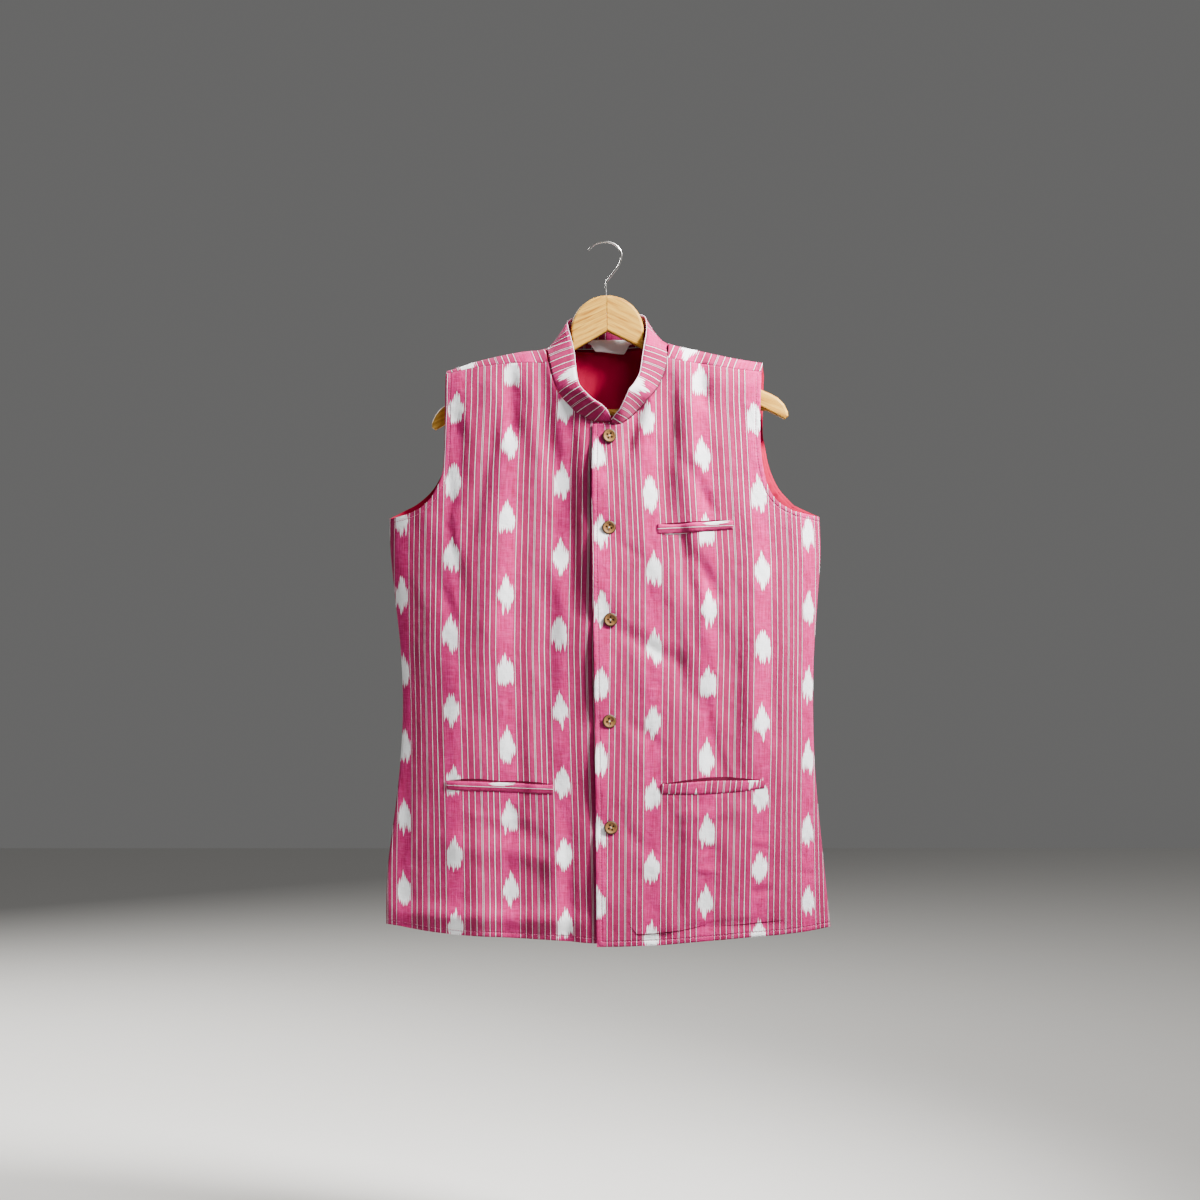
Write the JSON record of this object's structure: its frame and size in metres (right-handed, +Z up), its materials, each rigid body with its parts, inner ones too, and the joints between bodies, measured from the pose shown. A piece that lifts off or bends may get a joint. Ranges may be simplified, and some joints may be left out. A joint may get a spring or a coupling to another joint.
{
  "type": "nehru jacket on a wooden hanger",
  "caption": "Sleeveless stand-collar jacket in striped ikat cotton with crimson lining, buttoned front and welt pockets, hanging on a wooden hanger with a wire hook.",
  "frame": {"origin": "underside of the hook's bend, where the hanger hangs from a rail or a cord", "axes": "+Z up, +X to the wearer's left, -Y out of the buttoned front"},
  "size_m": [0.5515, 0.0893, 0.8742],
  "materials": {
    "jacket_cloth": "matt handloom cotton, pink with white stripes and ikat lozenges",
    "lining_cloth": "plain crimson lining with a slight sheen",
    "label_satin": "bare white satin",
    "button_shell": "tan coconut shell with a dark rim",
    "pale_wood": "clear satin varnish",
    "steel_wire": "plain bent wire"
  },
  "bodies": {
    "root": {"front_left": "jacket_cloth", "front_right": "jacket_cloth", "back": "jacket_cloth", "back_lining": "lining_cloth", "collar": "jacket_cloth", "chest_welt": "jacket_cloth", "pocket_welt_left": "jacket_cloth", "pocket_welt_right": "jacket_cloth", "label": "label_satin", "button_1": "button_shell", "button_2": "button_shell", "button_3": "button_shell", "button_4": "button_shell", "button_5": "button_shell", "hanger_arm_left": "pale_wood", "hanger_arm_right": "pale_wood", "hanger_bar": "pale_wood", "hook": "steel_wire"}
  },
  "joints": []
}
